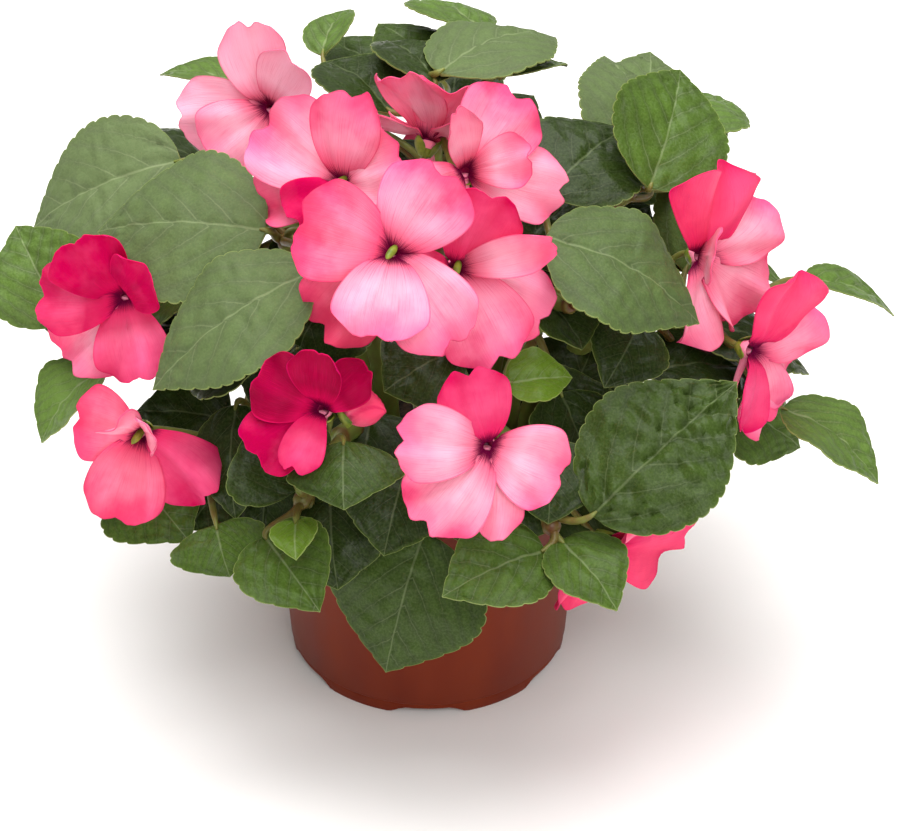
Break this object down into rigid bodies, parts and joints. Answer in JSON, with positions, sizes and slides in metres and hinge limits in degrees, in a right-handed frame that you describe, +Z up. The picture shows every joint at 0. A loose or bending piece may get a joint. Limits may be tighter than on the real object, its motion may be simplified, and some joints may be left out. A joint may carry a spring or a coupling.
{
  "type": "potted impatiens",
  "caption": "Bushy house plant with broad pink flowers and toothed leaves, in a round tapered plastic nursery pot with a notched foot.",
  "frame": {"origin": "on the surface that the pot stands on, at the centre of the whole plant's box seen from above", "axes": "+Z up; the side with the fullest blooms, which the picture shows, faces -Y; the plant is widest along X"},
  "size_m": [0.2882, 0.2354, 0.2101],
  "materials": {
    "terracotta_plastic": "satin",
    "potting_soil": "matte",
    "leaf_green": "matte",
    "pink_petal": "matte",
    "magenta_petal": "matte"
  },
  "bodies": {
    "root": {"bloom_back": "pink_petal", "bloom_back_left": "pink_petal", "bloom_centre": "pink_petal", "bloom_centre_right": "pink_petal", "bloom_far_right": "pink_petal", "bloom_front": "pink_petal", "bloom_front_left": "magenta_petal", "bloom_left": "magenta_petal", "bloom_low_back": "pink_petal", "bloom_low_right": "pink_petal", "bloom_lower_left": "pink_petal", "bloom_right": "pink_petal", "bloom_side_right": "pink_petal", "bloom_top": "pink_petal", "bloom_top_left": "pink_petal", "bloom_upper_left": "pink_petal", "bloom_upper_right": "pink_petal", "bud_front_left": "pink_petal", "pot": "terracotta_plastic", "shoot_back": "leaf_green", "shoot_back_left": "leaf_green", "shoot_back_right": "leaf_green", "shoot_front": "leaf_green", "shoot_front_left": "leaf_green", "shoot_front_right": "leaf_green", "shoot_left": "leaf_green", "shoot_lower_left": "leaf_green", "shoot_mid_right": "leaf_green", "shoot_right": "leaf_green", "shoot_top": "leaf_green", "shoot_upper_left": "leaf_green", "shoot_upper_right": "leaf_green", "soil": "potting_soil"}
  },
  "joints": []
}
